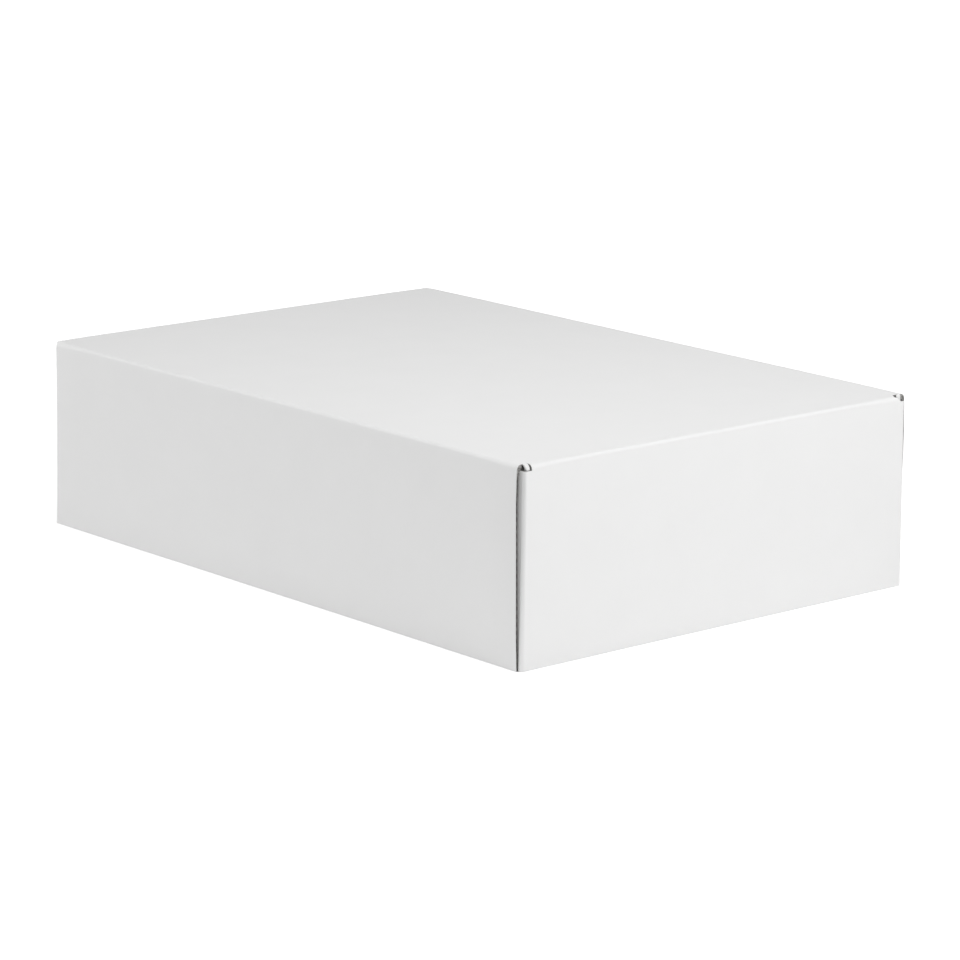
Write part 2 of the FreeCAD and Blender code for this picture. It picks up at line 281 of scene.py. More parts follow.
class Blank:
    """Flat blank of a folded tray, and where each point of it goes when it is folded.

    Three things are kept for each corner, by the signs of u and v there: openness, how far the
    corner stands open, from 0 to 1; tears, how far its relief is torn back; and softness, how
    much rounder its fold is. A bead is its size all along a fold and what the cut ends add.
    """

    def __init__(self, size, openness, tears, softness, bead, upside_down):
        length, width, self.height = size
        self.half_length = length / 2
        self.half_width = width / 2
        self.openness = openness
        self.tears = tears
        self.softness = softness
        self.bead_along, self.bead_at_ends = bead
        self.upside_down = upside_down
        self.cut_u = self.half_length - EDGE_SETBACK
        self.fold_u = self.half_length - TOP_FOLD
        self.fold_v = self.half_width - TOP_FOLD
        self.bend = TOP_FOLD * math.pi / 2
        self.relief_v = self.half_width - RELIEF
        self.raw_u = self.fold_u + self.bend + WING_DROP
        self.end_u = self.fold_u + self.bend + self.height - TOP_FOLD
        self.end_v = self.fold_v + self.bend + self.height - TOP_FOLD
        self.wing_y = self.half_width - BOARD - WING_GAP
        self.corner_v = self.wing_y - CORNER_FOLD
        self.wing_v = self.corner_v + CORNER_FOLD * math.pi / 2

    def cut_end(self, v):
        """Cut end of a long wall, which leans in or out on its way down to the free edge."""
        b = np.abs(v)
        down = b - self.fold_v - self.bend
        near, far = (np.interp(down, *zip(*END_LEAN[side])) for side in (-1, 1))
        lean = np.where(np.asarray(v) < 0, near, far)
        return self.cut_u + share(b, self.relief_v, self.fold_v) * lean

    def on_long_side(self, u, v):
        """Whether a point is on the panel or a long wall, and not on a narrow wall or a wing."""
        a, b = np.abs(u), np.abs(v)
        middle_of_cut = (self.cut_u + self.raw_u) / 2
        return (a <= self.cut_u + CLOSE) | ((b > self.relief_v + CLOSE) & (a < middle_of_cut))

    def lowness(self, u):
        """How far down a narrow wall a point is, from its raw upper edge to its free edge."""
        return share(np.abs(u), self.raw_u, self.end_u)

    def wing_end(self, u):
        """Free end of a wing at a distance u along the blank."""
        return self.wing_v + WING_LENGTH - WING_TAPER * self.lowness(u) - CORNER_FOLD

    def of_corner(self, values, u, v):
        """The value kept for the corner on whose side of the blank each point lies."""
        return sum(value * (np.sign(u) == side_u) * (np.sign(v) == side_v)
                   for (side_u, side_v), value in values.items())

    def rim_depth(self, path):
        """Depth of the hollows behind a cut edge: the bunched medium fills them at the folds."""
        a, b = np.abs(path).T
        in_fold = (b > self.fold_v - BUNCH_BEFORE) & (b < self.fold_v + self.bend + BUNCH_AFTER)
        near_end = a > self.cut_u - BUNCH_BEHIND
        return np.where(in_fold & near_end, FOLD_RIM_DEPTH, RIM_DEPTH)[:, None]

    def inner_liner(self, path):
        """Thickness the inner liner shows at a cut edge, more in a narrow fold and at a wall's end."""
        a, b = np.abs(path).T
        at_relief = np.abs(b - self.relief_v) < SAME
        in_fold = share(a, self.cut_u, self.cut_u + FOLD_LINER_REACH) * at_relief
        on_end = (np.abs(a - self.cut_end(path[:, 1])) < SAME) & (b > self.fold_v + self.bend)
        return LINER + FOLD_LINER * in_fold + END_LINER * on_end

    def warp(self, u, v):
        """Inward bow of the panel and the walls, which keeps the folds straight."""
        a, b = np.abs(u), np.abs(v)
        middle = fading(share(a, 0, self.fold_u)) * fading(share(b, 0, self.fold_v))
        panel = PANEL_BOW * middle * uneven(u, *PANEL_WAVE)
        down = rising(share(b, self.fold_v + self.bend, self.end_v))
        along = np.clip(1 - (a / LONG_WALL_BOW_REACH) ** 2, 0, 1)
        size, rate, phase = WALL_WAVE
        long_wall = LONG_WALL_BOW * down * along * uneven(u, size, rate, phase * np.sign(v))
        drop = rising(share(a, self.fold_u + self.bend, self.end_u))
        across = np.clip(1 - (b / self.relief_v) ** 2, 0, 1)
        narrow_wall = NARROW_WALL_BOW * drop * across
        return np.where(a <= self.cut_u, np.where(b <= self.fold_v, panel, long_wall), narrow_wall)

    def crumple(self, n, along, start, end, gap):
        """How far the crumpled inner layers of a fold push into the box, most at its cut ends."""
        over_fold = np.sin(np.pi * share(along, start, end)) ** BEAD_ROUNDNESS
        size = self.bead_along + self.bead_at_ends * np.exp(-(gap / BEAD_FADE) ** 2)
        return size * over_fold * share(n, 0, BOARD) ** BEAD_INNERMOST * math.sqrt(0.5)

    def crease(self, gap):
        """How much tighter than at its cut ends a fold is, at a distance from the nearer end."""
        return CREASE * (1 - np.exp(-(np.clip(gap, 0, None) / CREASE_FADE) ** 2))

    def swell(self, u, v):
        """How far the corner fold swells sideways near the free edge, and the wing leans in above."""
        b = np.abs(v)
        low = self.lowness(u)
        across = share(b, self.corner_v + SWELL_START, self.wing_v + SWELL_END) ** SWELL_SHARPNESS
        wide_open = share(self.of_corner(self.openness, u, v), *WIDE_OPEN)
        bulge = SWELL * wide_open * low ** SWELL_SHARPNESS * np.sin(across * np.pi) ** 2
        turned = share(b, self.corner_v + PRESS_LAG, self.wing_v + PRESS_LAG)
        start, end = PRESS_END
        behind = fading(share(b, self.wing_v + start, self.wing_v + end))
        return bulge - WING_PRESS * (1 - low) ** PRESS_POWER * turned * behind

    def tear(self, u, v):
        """How far a relief's cut edge is torn back along a narrow fold, and the panel beside it."""
        a, b = np.abs(u), np.abs(v)
        places = (self.cut_u - TEAR_REACH, self.cut_u, self.fold_u + TEAR_WIDEST, self.raw_u)
        down = np.interp(a, places, (0, TEAR_AT_CUT, 1, 0))
        beside = share(b, self.relief_v - TEAR_REACH, self.relief_v) * (b < self.relief_v + SAME)
        return self.of_corner(self.tears, u, v) * down * beside

    def softening(self, u, v):
        """How much rounder than the others a loose corner fold is, most beside the relief."""
        return self.of_corner(self.softness, u, v) * (1 - self.lowness(u))

    def over_top_fold(self, along, fold, lead, tight, n, pushed):
        """Distance out and height of points that run over a top fold and down the wall beyond it."""
        turn = np.clip((along - fold) / TOP_FOLD, 0, np.pi / 2)
        beyond = np.clip(along - fold - self.bend, 0, None)
        radius = TOP_FOLD - tight
        before = tight * share(along, fold - lead, fold)
        after = tight * np.clip(1 - beyond / BEAD_REACH, 0, 1)
        out = np.minimum(along, fold) + before + (radius - n) * np.sin(turn) - pushed
        shoulder = self.height - TOP_FOLD + after
        return out, shoulder + (radius - n) * np.cos(turn) - beyond - pushed

    def long_side(self, u, v, n):
        """Points of the panel and the long walls."""
        a, b = np.abs(u), np.abs(v)
        gap = self.cut_end(v) - a
        start, end = self.fold_v - BEAD_REACH, self.fold_v + self.bend + BEAD_REACH
        pushed = self.crumple(n, b, start, end, gap)
        n = n + self.warp(u, v)
        y, z = self.over_top_fold(b, self.fold_v, BEAD_REACH, self.crease(gap), n, pushed)
        return np.stack([u, np.sign(v) * (y - self.tear(u, v)), z], -1)

    def narrow_side(self, u, v, n):
        """Points of the narrow walls, and of their wings, which turn in behind the long walls."""
        a, b = np.abs(u), np.abs(v)
        gap = self.relief_v - b
        soft = self.softening(u, v)
        start, radius = self.corner_v - soft, CORNER_FOLD + soft
        turned = b > start
        pushed = self.crumple(n, a, self.cut_u, self.fold_u + self.bend + BEAD_REACH, gap)
        pushed = np.where(turned | (a >= self.raw_u + BEAD_REACH), 0, NARROW_BEAD * pushed)
        n = n + self.warp(u, v)
        lead = self.fold_u - self.cut_u
        x, z = self.over_top_fold(a, self.fold_u, lead, self.crease(gap), n, pushed)
        swing = share(b, start, self.wing_v + soft) * np.pi / 2
        beyond = np.clip(b - self.wing_v - soft, 0, None)
        wing_x = self.half_length - radius + (radius - n) * np.cos(swing) - beyond
        wing_y = start + (radius - n) * np.sin(swing) + self.swell(u, v)
        x = np.where(turned, wing_x, x)
        y = np.where(turned, wing_y, b - self.tear(u, v))
        return np.stack([np.sign(u) * x, np.sign(v) * y, z], -1)

    def place(self, u, v, n):
        """Points of the folded sheet: n is the depth below the board's outer face."""
        u, v, n = np.broadcast_arrays(*(np.asarray(x, float) for x in (u, v, n)))
        on_long = self.on_long_side(u, v)[..., None]
        return self.stand(np.where(on_long, self.long_side(u, v, n), self.narrow_side(u, v, n)))

    def stand(self, points):
        """The tray stands on its panel, so it is the same sheet turned over."""
        if self.upside_down:
            points = points * (1, -1, -1) + (0, 0, self.height)
        return points

    def wing_cells(self, side_u, side_v, u_rows):
        """Grid of one wing and the corner fold beside it, whose rows end at the wing's taper."""
        rows = []
        for u in u_rows:
            soft = float(self.softening(side_u * u, float(side_v)))
            turn = np.linspace(self.corner_v - soft, self.wing_v + soft, FOLD_STEPS + 1)
            before = max(self.relief_v + ROW_AFTER_RELIEF, turn[0] - ROW_BEFORE_CORNER)
            after = turn[-1] + np.array(ROWS_AFTER_CORNER)
            end = float(self.wing_end(u))
            wing = joined(after, np.linspace(after[-1], end - CRUSH_REACH, WING_CELLS + 1), end)
            rows.append(np.concatenate([joined(self.relief_v, before, turn), wing]))
        return side_u * np.tile(u_rows[:, None], (1, len(rows[0]))), side_v * np.array(rows)

    def cells(self):
        """Rows and columns of the blank's panels, as grids of u and v."""
        arc = np.linspace(0, self.bend, FOLD_STEPS + 1)
        inner_u, inner_v = self.cut_u - CRUSH_REACH, self.relief_v - CRUSH_REACH
        u_long = joined(-self.cut_u, spaced(-inner_u, inner_u, PANEL_STEP_ALONG), self.cut_u)
        v_panel = joined(-self.relief_v, spaced(-inner_v, inner_v, PANEL_STEP_ACROSS), self.relief_v)
        v_fold = self.fold_v + np.r_[ROWS_BEFORE_FOLD, arc, self.bend + np.array(ROWS_AFTER_FOLD)]
        low_v = spaced(self.fold_v + self.bend + BEAD_REACH, self.end_v - CRUSH_REACH, LONG_WALL_STEP)
        v_wall = joined(self.relief_v, v_fold, low_v, self.end_v)
        low_u = spaced(self.raw_u + CRUSH_REACH, self.end_u - CRUSH_REACH, NARROW_WALL_STEP)
        u_corner = joined(self.raw_u, low_u, self.end_u)
        u_wall = joined(self.cut_u, self.fold_u + arc, self.raw_u + BEAD_REACH, u_corner)

        grids = [np.meshgrid(u_long, v_panel)]
        near_end = np.where(np.abs(u_long) > inner_u - SAME, np.sign(u_long), 0)
        for side in (-1, 1):
            lean = self.cut_end(side * v_wall)[:, None] - self.cut_u
            grid_u, grid_v = np.meshgrid(u_long, side * v_wall)
            grids.append((grid_u + near_end * lean, grid_v))
            grids.append(np.meshgrid(side * u_wall, v_panel))
        for side_u in (-1, 1):
            for side_v in (-1, 1):
                grids.append(self.wing_cells(side_u, side_v, u_corner))
        return grids


def blank_faces(blank):
    """Corners of the blank's grid without doubles, and its cells, all wound the same way."""
    numbers, corners, cells = {}, [], []

    def corner(u, v):
        """Number of a corner, which is new unless it was met before in the same zone."""
        zone = 0
        if abs(v) > blank.relief_v + SAME / 2:
            zone = 1 if blank.on_long_side(u, v) else 2
        key = (round(u, 2), round(v, 2), zone)
        if key not in numbers:
            numbers[key] = len(corners)
            corners.append((u, v))
        return numbers[key]

    for grid_u, grid_v in blank.cells():
        index = np.array([[corner(u, v) for u, v in zip(*row)] for row in zip(grid_u, grid_v)])
        for r in range(index.shape[0] - 1):
            for c in range(index.shape[1] - 1):
                cell = [index[r, c], index[r, c + 1], index[r + 1, c + 1], index[r + 1, c]]
                (u0, v0), (u1, v1), (u2, v2) = (corners[k] for k in cell[:3])
                if (u1 - u0) * (v2 - v1) - (v1 - v0) * (u2 - u1) < 0:
                    cell.reverse()
                cells.append(cell)
    return np.array(corners), cells


def outline_of(cells):
    """Corners round the outside of the cells, with the board on the left."""
    edges = {(c[k], c[(k + 1) % 4]) for c in cells for k in range(4)}
    follow = {i: j for i, j in edges if (j, i) not in edges}
    start = min(follow)
    loop, at = [start], follow[start]
    while at != start:
        loop.append(at)
        at = follow[at]
    return loop


# Cut edges: both liners, the hollow between them, and the fluted medium inside it


def directions(path):
    """Unit steps from each point of a closed outline to the next."""
    ahead = np.roll(path, -1, 0) - path
    return ahead / np.linalg.norm(ahead, axis=1, keepdims=True)


def inward(path, depth):
    """The outline moved into the board by depth, with mitred corners."""
    ahead = directions(path)
    normal = np.stack([-ahead[:, 1], ahead[:, 0]], 1)
    before = np.roll(normal, 1, 0)
    mitre = (normal + before) / (1 + (normal * before).sum(1, keepdims=True))
    return path + depth * mitre


def add_rim(board, path, place, outer, inner, depth, inner_liner=LINER):
    """Cut edge of the board: both liners, and the hollow between them."""
    deep = inward(path, depth)
    rings = [outer]
    for at, n in ((path, LINER + EDGE_CRUSH), (deep, LINER), (deep, BOARD - inner_liner),
                  (path, BOARD - inner_liner - EDGE_CRUSH)):
        rings.append(board.add_points(place(at[:, 0], at[:, 1], n), at))
    rings.append(inner)
    for first, second in zip(rings, rings[1:]):
        board.add_band(first, second, RAW_EDGE, closed=True)


def add_medium(board, path, deep, across, place):
    """The fluted medium between the liners, along an open stretch of a cut edge.

    path and deep are the same stretch at the cut and at the back of the hollow.
    across is the number of the blank coordinate that runs across the flutes.
    """
    uppers, lowers = [], []
    stays_on_flute = np.allclose(path[:, across], deep[:, across], atol=MITRE_SHIFT)
    for way in np.linspace(MEDIUM_START, 1, MEDIUM_ROWS[0 if stays_on_flute else 1]):
        at = path + way * (deep - path)
        squeeze = 1 - (1 - way) * EDGE_CRUSH / BOARD * 2
        middle = BOARD / 2 + (flute(at[:, across]) - BOARD / 2) * squeeze
        for rows, side in ((uppers, -1), (lowers, 1)):
            points = place(at[:, 0], at[:, 1], middle + side * MEDIUM / 2)
            rows.append(board.add_points(points, at))
    section = uppers + lowers[::-1]
    for first, second in zip(section, section[1:] + section[:1]):
        board.add_band(first, second, FLUTES)
    for end in (0, -1):
        ends = [[row[end] for row in rows] for rows in (uppers, lowers)]
        board.add_band(*ends, FLUTES)


def length_of(path):
    """Length of a line of points."""
    return np.linalg.norm(np.diff(path, axis=0), axis=1).sum()


def resampled(path, count):
    """Evenly spaced points along a line of points."""
    lengths = np.r_[0, np.cumsum(np.linalg.norm(np.diff(path, axis=0), axis=1))]
    at = np.linspace(0, lengths[-1], count)
    return np.stack([np.interp(at, lengths, path[:, k]) for k in (0, 1)], 1)


def stretches(path, deep):
    """The straight stretches of a closed outline, each with its mitred inner line."""
    ahead = directions(path)
    turned = (ahead * np.roll(ahead, 1, 0)).sum(1) < math.cos(OUTLINE_TURN)
    breaks = np.flatnonzero(turned)
    for i, start in enumerate(breaks):
        end = breaks[(i + 1) % len(breaks)]
        count = (end - start) % len(path)
        index = (start + np.arange(count + 1)) % len(path)
        yield path[index], deep[index]


def add_edge_medium(board, path, place, across, depth):
    """The fluted medium in a whole cut edge, in fine steps where the edge runs across the flutes."""
    for line, back in stretches(path, inward(path, depth)):
        length = length_of(line)
        if length < SHORTEST_CUT:
            continue
        crosses_flutes = np.abs(np.diff(line[:, across])).sum() > FLUTED_SHARE * length
        step = FLUTE_PITCH / SAMPLES_PER_FLUTE if crosses_flutes else PLAIN_STEP
        count = len(spaced(0, length, step))
        add_medium(board, resampled(line, count), resampled(back, count), across, place)


# Corner noses


def open_nose(blank, openness):
    """Roots and outermost points of a nose that stands off the corner."""
    root_x = blank.cut_u - OPEN_NOSE_ROOT
    tip_x = blank.half_length - OPEN_NOSE_TIP - OPEN_NOSE_RETREAT * (1 - openness)
    near, far = blank.relief_v + NOSE_GAP, blank.fold_v - OPEN_NOSE_EDGE
    first = [(near + y, fall) for y, fall in OPEN_NOSE_NEAR_END]
    last = [(far - y, fall) for y, fall in OPEN_NOSE_FAR_END]
    middle = ((first[-1][0] + last[0][0]) / 2, 0.0)
    return [((root_x, y), (tip_x - fall, y)) for y, fall in (*first, middle, *last)]


def pressed_nose(blank, openness):
    """Roots and outermost points of a nose that is pressed down round the corner."""
    retreat_x, retreat_y = PRESSED_NOSE_RETREAT
    root_x, root_y = blank.fold_u - PRESSED_NOSE_ROOT, blank.fold_v - PRESSED_NOSE_SIDE
    tip_x = blank.half_length - NOSE_GAP - retreat_x * openness
    tip_y = blank.wing_y - NOSE_GAP - retreat_y * openness
    straight = np.linspace(blank.relief_v + NOSE_GAP, blank.corner_v, PRESSED_NOSE_ROWS + 1)[:-1]
    plan = [((root_x, y), (tip_x, y)) for y in straight]
    radius = CORNER_FOLD - NOSE_GAP
    for angle in np.radians(np.linspace(0, 90, PRESSED_NOSE_TURNS + 1)):
        out_x = tip_x - radius + radius * math.cos(angle)
        out_y = tip_y - radius + radius * math.sin(angle)
        plan.append(((root_x, min(out_y - PRESSED_NOSE_SPREAD, root_y)), (out_x, out_y)))
    back_x = blank.cut_u - PRESSED_NOSE_BACK
    plan.append(((back_x, root_y), (back_x, tip_y)))
    return plan


def nose_rows(blank, plan, inset):
    """Lines down the bend of a nose, one for each pair of a root and an outermost point."""
    top = blank.height - NOSE_SINK - inset
    foot = blank.height - TOP_FOLD - WING_DROP + NOSE_LIFT
    rows = []
    turns = np.radians(np.linspace(0, 90, NOSE_STEPS + 1))
    for root, out in np.array(plan):
        span = np.linalg.norm(out - root)
        reach = max(span - inset, NOSE_SHORTEST) * (out - root) / span
        xy = root + reach * np.sin(turns)[:, None]
        z = foot + (top - foot) * np.cos(turns)
        back = (blank.cut_u - NOSE_BACK, root[1], top)
        rows.append(np.vstack([back, np.column_stack([xy, z])]))
    return rows


def add_corner_nose(board, blank, side_u, side_v, openness):
    """Small nose of the panel between the reliefs, bent down with the corner or short of it."""
    if openness > NOSE_OPEN_FROM:
        plan, thickness = open_nose(blank, openness), OPEN_NOSE_THICKNESS
    else:
        plan, thickness = pressed_nose(blank, openness), PRESSED_NOSE_THICKNESS
    layers = []
    for inset in (0.0, thickness):
        rows = [row * (side_u, side_v, 1) for row in nose_rows(blank, plan, inset)]
        layers.append([board.add_points(blank.stand(row), row[:, :2]) for row in rows])
    for layer in layers:
        for first, second in zip(layer, layer[1:]):
            board.add_band(first, second, WHITE_LINER)
    outside, inside = layers
    for k in (0, -1):
        board.add_band(outside[k], inside[k], WHITE_LINER)
        board.add_band([row[k] for row in outside], [row[k] for row in inside], WHITE_LINER)


def folded_sheet(blank):
    """Lid or tray: the blank folded, with its cut edges, medium and corner noses."""
    board = Board()
    corners, cells = blank_faces(blank)
    loop = outline_of(cells)
    u, v = corners.T
    crush = np.zeros(len(corners))
    crush[loop] = EDGE_CRUSH
    beside_nose = (np.abs(v) > blank.relief_v - SAME) & (np.abs(v) < blank.fold_v + SAME)
    crush[beside_nose & (np.abs(u) < blank.cut_u + SAME)] = 0
    outer = board.add_points(blank.place(u, v, crush), corners)
    inner = board.add_points(blank.place(u, v, BOARD - crush), corners)
    for cell in cells:
        board.add_face(outer[cell], WHITE_LINER)
        board.add_face(inner[cell[::-1]], WHITE_LINER)
    path = corners[loop]
    depth = blank.rim_depth(path)
    add_rim(board, path, blank.place, outer[loop], inner[loop], depth, blank.inner_liner(path))
    add_edge_medium(board, path, blank.place, 1, depth)
    for (side_u, side_v), openness in blank.openness.items():
        add_corner_nose(board, blank, side_u, side_v, openness)
    return board


# Insert: five flat plates with slots and bottle cut-outs

FOOT_CORNER = TOP_FOLD - BOARD
FOOT_CORNER_STEPS = 4
PLATE_CORNER = 6.0
PLATE_CORNER_STEPS = 6
FACE_MARGIN = 0.5
SLOT_HALF = 0.95
SLOT_PLAY = 0.2
BOTTLE_AXIS = 47.5
BOTTLE_SEAT = {"radius": 38.5, "steps": 72}
NECK_NOTCH = {"radius": 17.0, "steps": 40}


def rounded(corner, before, after, radius, steps):
    """Points of a rounded corner between two directions."""
    corner, before, after = (np.array(p, float) for p in (corner, before, after))
    to_before = (before - corner) / np.linalg.norm(before - corner)
    to_after = (after - corner) / np.linalg.norm(after - corner)
    start, end = corner + radius * to_before, corner + radius * to_after
    centre = start + end - corner
    angles = np.linspace(0, math.pi / 2, steps + 1)
    return [tuple(centre + (start - centre) * math.cos(t) + (end - centre) * math.sin(t))
            for t in angles]


def seat(centre, top, radius, steps):
    """Round seat of a cradle, or a neck notch whose mouth is open above, from left to right."""
    if top > BOTTLE_AXIS:
        arc = [(centre - radius * math.cos(t), BOTTLE_AXIS - radius * math.sin(t))
               for t in np.linspace(0, math.pi, steps + 1)]
        return [(centre - radius, top), *arc, (centre + radius, top)]
    half = math.sqrt(radius ** 2 - (BOTTLE_AXIS - top) ** 2)
    first = math.atan2(top - BOTTLE_AXIS, -half) + 2 * math.pi
    last = math.atan2(top - BOTTLE_AXIS, half) + 2 * math.pi
    return [(centre + radius * math.cos(t), BOTTLE_AXIS + radius * math.sin(t))
            for t in np.linspace(first, last, steps + 1)]


def slot_cut(middle, mouth, bottom):
    """Slot that is open at its mouth, from left to right."""
    left, right = middle - SLOT_HALF, middle + SLOT_HALF
    return [(left, mouth), (left, bottom), (right, bottom), (right, mouth)]


def crossed(first, second):
    """Two runs of an outline, one after the other, both stopped where they cross."""
    for i, (ax, ay) in enumerate(first[:-1]):
        bx, by = first[i + 1][0] - ax, first[i + 1][1] - ay
        for j in range(len(second) - 1):
            cx, cy = second[j][0] - ax, second[j][1] - ay
            dx, dy = second[j + 1][0] - second[j][0], second[j + 1][1] - second[j][1]
            area = bx * dy - by * dx
            if abs(area) > PARALLEL:
                along, other = (cx * dy - cy * dx) / area, (cx * by - cy * bx) / area
                if 0 < along < 1 and 0 < other < 1:
                    return first[:i + 1] + [(ax + along * bx, ay + along * by)] + second[j + 1:]
    return first + second


def plate_outline(length, bottom, top, cuts_above=(), slots_below=()):
    """Outline of a plate, anticlockwise, with cuts in its upper edge and slots from below."""
    left, right = -length / 2, length / 2
    foot, head = (FOOT_CORNER, FOOT_CORNER_STEPS), (PLATE_CORNER, PLATE_CORNER_STEPS)
    lower = rounded((left, bottom), (left, top), (right, bottom), *foot)
    for cut in sorted(slots_below):
        lower += cut
    lower += rounded((right, bottom), (left, bottom), (right, top), *foot)
    upper = rounded((right, top), (right, bottom), (left, top), *head)
    for cut in sorted(cuts_above, reverse=True):
        upper = crossed(upper, cut[::-1])
    upper = crossed(upper, rounded((left, top), (right, top), (left, bottom), *head))
    return np.array(lower + upper)


def flat_plate(outline, place):
    """Flat plate of board with upright flutes, and its cut edge all round."""
    board = Board()
    rows = []
    face_line = inward(outline, FACE_MARGIN)
    for line, n in ((outline, EDGE_CRUSH), (outline, BOARD - EDGE_CRUSH),
                    (face_line, 0), (face_line, BOARD)):
        rows.append(board.add_points(place(line[:, 0], line[:, 1], n), line))
    outer, inner, outer_face, inner_face = rows
    board.add_face(outer_face, WHITE_LINER)
    board.add_face(inner_face[::-1], WHITE_LINER)
    board.add_band(outer_face, outer, WHITE_LINER, closed=True)
    board.add_band(inner, inner_face, WHITE_LINER, closed=True)
    add_rim(board, outline, place, outer, inner, INSERT_RIM_DEPTH)
    add_edge_medium(board, outline, place, 0, INSERT_RIM_DEPTH)
    return board


def along_box(y):
    """Plate that stands along the box at a distance y across it."""
    return lambda p, q, n: np.stack(np.broadcast_arrays(p, y - BOARD / 2 + n, q), -1)


def across_box(x):
    """Plate that stands across the box at a distance x along it."""
    return lambda p, q, n: np.stack(np.broadcast_arrays(x + BOARD / 2 - n, p, q), -1)


# Finishes: node groups that the boards share, and one material for each finish


def new_group(name, inputs, outputs):
    """Shader node group with named inputs and outputs; returns its inputs and its end node too."""
    group = bpy.data.node_groups.new(name, "ShaderNodeTree")
    for label, kind, start in inputs:
        group.interface.new_socket(label, in_out="INPUT", socket_type=kind).default_value = start
    for label, kind in outputs:
        group.interface.new_socket(label, in_out="OUTPUT", socket_type=kind)
    return group, group.nodes.new("NodeGroupInput").outputs, group.nodes.new("NodeGroupOutput")


def fill(tree, made, values):
    """Sets a node's entries: each value is a number, a colour or another node's output."""
    for key, value in values.items():
        if isinstance(value, bpy.types.NodeSocket):
            tree.links.new(value, made.inputs[key])
        else:
            made.inputs[key].default_value = value
    return made.outputs


def node(tree, kind, settings, values):
    """New node with its settings and entries; returns its outputs."""
    made = tree.nodes.new(kind)
    for key, setting in settings.items():
        setattr(made, key, setting)
    return fill(tree, made, values)


def sum_of(tree, operation, *entries):
    """Result of a sum, whose entries are numbers or other nodes' outputs."""
    return node(tree, "ShaderNodeMath", {"operation": operation}, dict(enumerate(entries)))[0]


def paper_mottle():
    """Cloudy unevenness of a bleached liner, at two sizes, as a shade and a height."""
    group, start, end = new_group(
        "paper mottle",
        [("Clouds per metre", "NodeSocketFloat", 60.0), ("Fibres per metre", "NodeSocketFloat", 900.0),
         ("Depth", "NodeSocketFloat", 0.02), ("Colour", "NodeSocketColor", (0.8, 0.8, 0.8, 1))],
        [("Colour", "NodeSocketColor"), ("Height", "NodeSocketFloat")])
    where = node(group, "ShaderNodeTexCoord", {}, {})["Object"]
    clouds, fibres = (
        node(group, "ShaderNodeTexNoise", {},
             {"Vector": where, "Scale": start[rate], "Detail": detail, "Roughness": roughness})["Fac"]
        for rate, detail, roughness in (("Clouds per metre", 3.0, 0.55),
                                        ("Fibres per metre", 4.0, 0.6)))
    both = node(group, "ShaderNodeMix", {"data_type": "FLOAT"},
                {"Factor": 0.45, 2: clouds, 3: fibres})[0]
    depth = sum_of(group, "MULTIPLY", sum_of(group, "SUBTRACT", both, 0.5), start["Depth"])
    shade = sum_of(group, "ADD", depth, 1.0)
    tinted = node(group, "ShaderNodeVectorMath", {"operation": "SCALE"},
                  {0: start["Colour"], "Scale": shade})[0]
    fill(group, end, {"Colour": tinted, "Height": fibres})
    return group


def washboard():
    """Faint ribs where the liner shows the flutes under it, from the blank's own coordinates."""
    group, start, end = new_group(
        "washboard",
        [("Pitch", "NodeSocketFloat", FLUTE_PITCH * MM), ("Across", "NodeSocketFloat", 0.0)],
        [("Height", "NodeSocketFloat")])
    where = node(group, "ShaderNodeUVMap", {"uv_map": "blank"}, {})["UV"]
    parts = node(group, "ShaderNodeSeparateXYZ", {}, {0: where})
    across = node(group, "ShaderNodeMix", {"data_type": "FLOAT"},
                  {"Factor": start["Across"], 2: parts["X"], 3: parts["Y"]})[0]
    angle = sum_of(group, "MULTIPLY", sum_of(group, "DIVIDE", across, start["Pitch"]), 2 * math.pi)
    fill(group, end, {"Height": sum_of(group, "COSINE", angle)})
    return group


def stray_specks():
    """Sparse tiny dark specks of recycled fibre in the liner, as a mask."""
    group, start, end = new_group(
        "stray specks",
        [("Cells per metre", "NodeSocketFloat", 60.0), ("Share", "NodeSocketFloat", 0.03),
         ("Size", "NodeSocketFloat", 0.02)],
        [("Mask", "NodeSocketFloat")])
    where = node(group, "ShaderNodeTexCoord", {}, {})["Object"]
    cells = node(group, "ShaderNodeTexVoronoi", {"feature": "F1"},
                 {"Vector": where, "Scale": start["Cells per metre"]})
    close = sum_of(group, "LESS_THAN", cells["Distance"], start["Size"])
    draw = node(group, "ShaderNodeSeparateColor", {}, {0: cells["Color"]})[0]
    rare = sum_of(group, "LESS_THAN", draw, start["Share"])
    fill(group, end, {"Mask": sum_of(group, "MULTIPLY", close, rare)})
    return group


MOTTLE, RIBS, SPECKS = paper_mottle(), washboard(), stray_specks()
SPECK_COLOUR = (0.22, 0.21, 0.20, 1)
FLUTES_ALONG_BOX, FLUTES_UPRIGHT = 1.0, 0.0
LINER_FIBRE_HEIGHT = 0.00004
RAW_FIBRE_HEIGHT = 0.00006


def new_material(name, roughness, specular):
    """Material with its node tree and its main shader."""
    made = bpy.data.materials.new(name)
    made.use_nodes = True
    shader = made.node_tree.nodes["Principled BSDF"]
    shader.inputs["Roughness"].default_value = roughness
    shader.inputs["Specular IOR Level"].default_value = specular
    return made, made.node_tree, shader


def placed(tree, group, values):
    """Node group placed in a material with values of its own; returns its outputs."""
    return node(tree, "ShaderNodeGroup", {"node_tree": group}, values)


